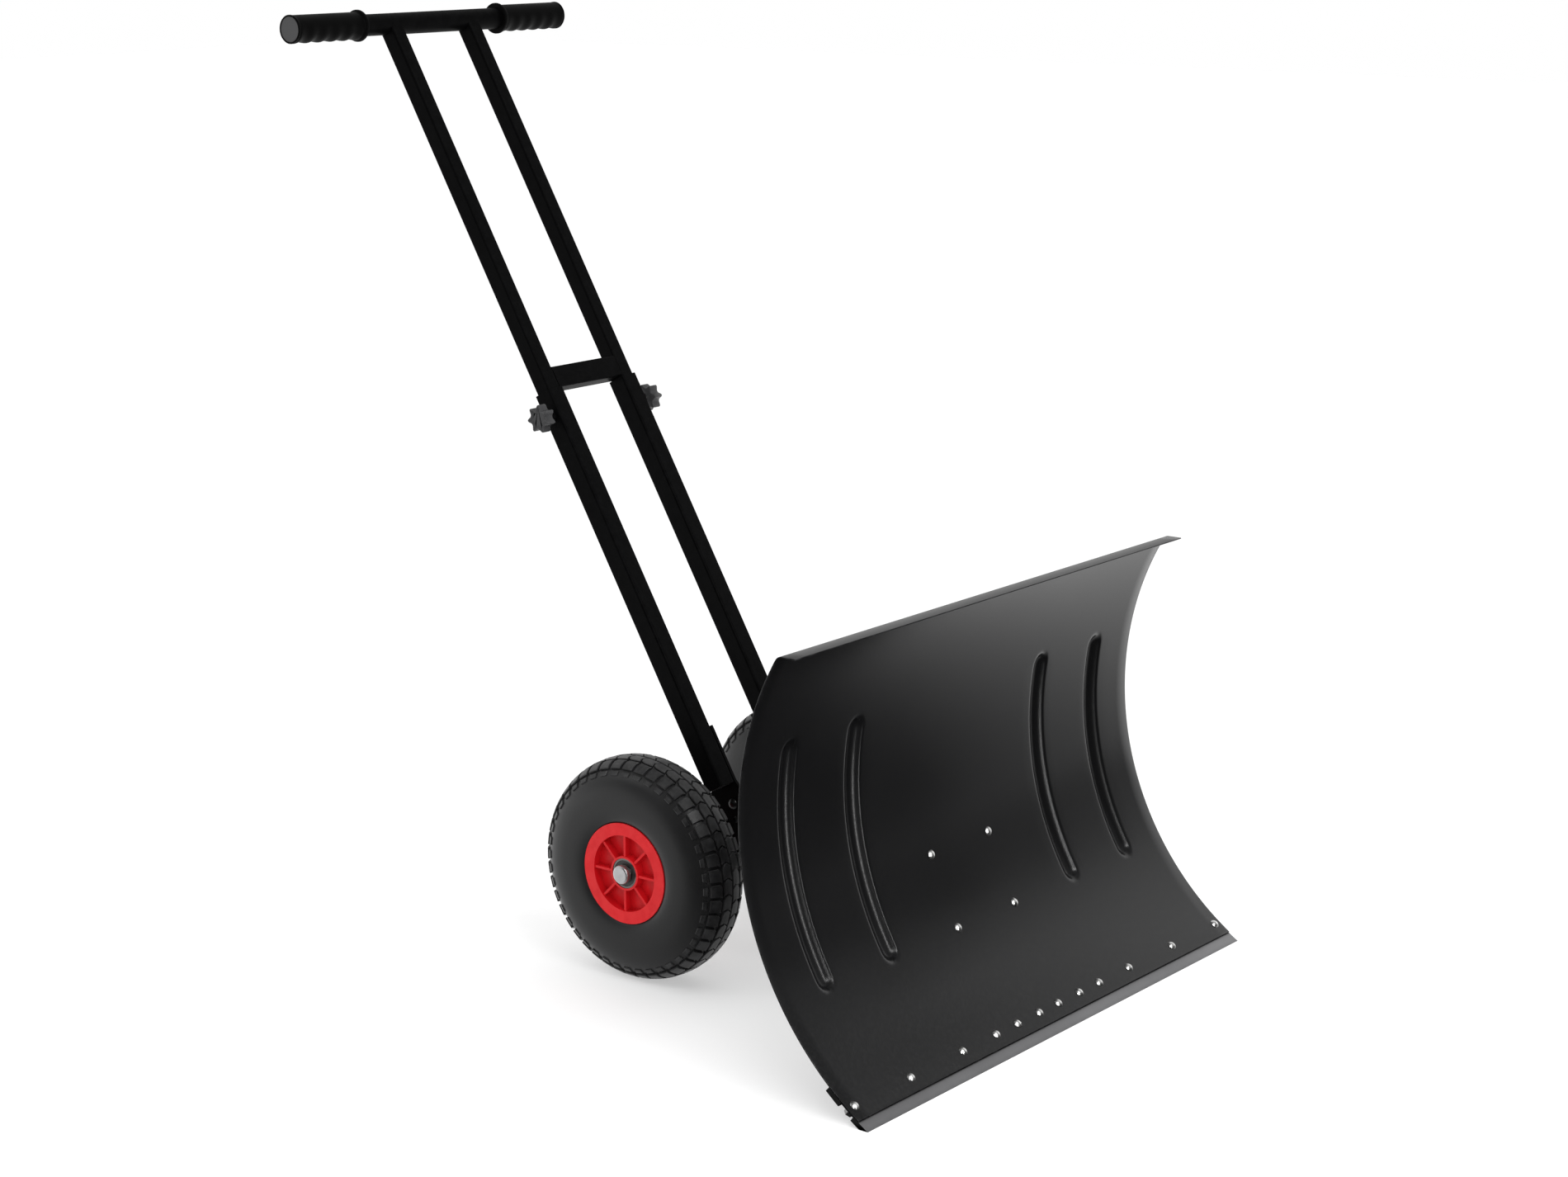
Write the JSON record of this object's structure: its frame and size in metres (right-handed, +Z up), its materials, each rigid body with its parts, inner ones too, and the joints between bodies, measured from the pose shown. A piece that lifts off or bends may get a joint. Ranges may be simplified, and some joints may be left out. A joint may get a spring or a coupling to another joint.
{
  "type": "wheeled snow shovel",
  "caption": "Wheeled snow pusher with a wide curved steel blade that swivels, a two-wheel carriage and a height-adjustable T handle clamped by star knobs.",
  "frame": {"origin": "on the ground, under the middle of the whole object's bounding box", "axes": "+Z up; the blade faces -Y and the handle leans back to +Y; X runs across, +X on the left of the operator who stands behind"},
  "size_m": [0.74, 0.9476, 1.0745],
  "materials": {
    "blade_coat": "satin black powder coat",
    "frame_coat": "semi-matt black powder coat",
    "strip_steel": "plain grey steel, dull",
    "zinc": "bright zinc plate",
    "black_screw": "black oxide steel",
    "axle_steel": "turned steel",
    "cap_steel": "pressed bright steel",
    "bearing_steel": "ground steel",
    "bronze": "sintered bronze",
    "brass_insert": "turned brass",
    "black_plastic": "moulded black plastic",
    "knob_plastic": "moulded dark grey plastic",
    "rim_red": "moulded red plastic, semi-gloss",
    "seal_rubber": "black seal",
    "grip_rubber": "soft black rubber",
    "tyre": "dark grey foamed rubber, matt"
  },
  "bodies": {
    "carriage": {"drawbar": "frame_coat", "pivot_bushes": "bronze", "thrust_washers": "bronze", "clamp_bolt": "zinc", "flange_bolts": "zinc", "flange_nuts": "zinc", "carriage_bracket": "frame_coat", "tie_spacer": "zinc", "tie_bolt": "black_screw", "tie_nut": "black_screw", "axle": "axle_steel", "axle_spacers": "zinc", "axle_washers": "zinc", "axle_caps": "cap_steel", "bearing_inner_rings": "bearing_steel", "lower_tube_plugs": "black_plastic", "knob_weld_nuts": "frame_coat", "left_lower_tube": "frame_coat", "left_tube_guide": "black_plastic", "right_lower_tube": "frame_coat", "right_tube_guide": "black_plastic"},
    "blade": {"blade_sheet": "blade_coat", "wear_strip": "strip_steel", "wear_strip_bolts": "zinc", "wear_strip_nuts": "zinc", "blade_bracket": "frame_coat", "bracket_bolts": "zinc", "bracket_nuts": "zinc", "king_bolt": "zinc", "king_washers": "zinc", "king_nut": "zinc"},
    "left_wheel": {"left_rim": "rim_red", "left_tyre": "tyre", "left_bearing_outer_rings": "bearing_steel", "left_bearing_balls": "bearing_steel", "left_bearing_seals": "seal_rubber"},
    "right_wheel": {"right_rim": "rim_red", "right_tyre": "tyre", "right_bearing_outer_rings": "bearing_steel", "right_bearing_balls": "bearing_steel", "right_bearing_seals": "seal_rubber"},
    "handle": {"left_upper_tube": "frame_coat", "right_upper_tube": "frame_coat", "upper_tube_plugs": "black_plastic", "crossbar": "frame_coat", "handlebar": "frame_coat", "left_grip": "grip_rubber", "right_grip": "grip_rubber"},
    "left_clamp_knob": {"left_height_knob": "knob_plastic", "left_knob_stud": "zinc"},
    "right_clamp_knob": {"right_height_knob": "knob_plastic", "right_knob_stud": "zinc"},
    "swivel_clamp_knob": {"swivel_knob": "knob_plastic", "swivel_knob_insert": "brass_insert", "swivel_washer": "zinc"}
  },
  "joints": [
    {"name": "blade_swivel", "type": "hinge", "parent": "carriage", "child": "blade", "pos_m": [0, -0.2525, 0.146], "axis": [0, 0, 1], "range_deg": [-30, 30]},
    {"name": "left_wheel_spin", "type": "hinge", "parent": "carriage", "child": "left_wheel", "pos_m": [0.1515, 0.0025, 0.13], "axis": [1, 0, 0], "continuous": true},
    {"name": "right_wheel_spin", "type": "hinge", "parent": "carriage", "child": "right_wheel", "pos_m": [-0.1515, 0.0025, 0.13], "axis": [1, 0, 0], "continuous": true},
    {"name": "handle_height", "type": "slide", "parent": "carriage", "child": "handle", "axis": [0, 0.506, 0.8625], "range_m": [0, 0.22]},
    {"name": "left_knob_turn", "type": "hinge", "parent": "carriage", "child": "left_clamp_knob", "pos_m": [0.0933, 0.19784, 0.61724], "axis": [1, 0, 0], "range_deg": [0, 720]},
    {"name": "right_knob_turn", "type": "hinge", "parent": "carriage", "child": "right_clamp_knob", "pos_m": [-0.0933, 0.19784, 0.61724], "axis": [-1, 0, 0], "range_deg": [0, 720]},
    {"name": "swivel_knob_turn", "type": "hinge", "parent": "carriage", "child": "swivel_clamp_knob", "pos_m": [0, -0.1675, 0.18], "axis": [0, 0, 1], "range_deg": [0, 720]}
  ]
}
